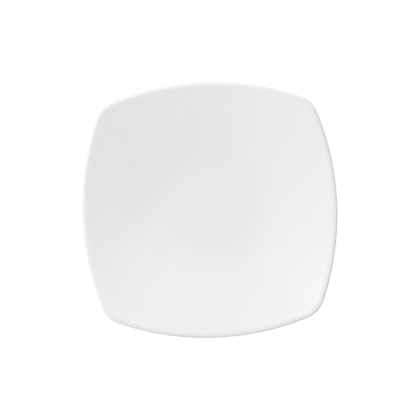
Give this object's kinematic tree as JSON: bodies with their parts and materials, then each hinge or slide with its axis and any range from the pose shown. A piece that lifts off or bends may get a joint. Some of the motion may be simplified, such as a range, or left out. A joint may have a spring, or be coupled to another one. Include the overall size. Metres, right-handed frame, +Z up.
{
  "type": "square plate",
  "caption": "Square coupe plate in white glazed porcelain: a shallow dish with a flat round well, bowed sides, raised round corners and a low foot ring.",
  "frame": {"origin": "on the table, under the middle of the plate", "axes": "+Z up out of the well, +X and +Y through the middles of two neighbouring sides"},
  "size_m": [0.254, 0.254, 0.0269],
  "materials": {
    "bare_porcelain": "unglazed, ground smooth, matt",
    "white_glaze": "clear white glaze, gloss"
  },
  "bodies": {
    "root": {"porcelain_body": "bare_porcelain", "glaze_coat": "white_glaze", "foot_recess_glaze": "white_glaze"}
  },
  "joints": []
}
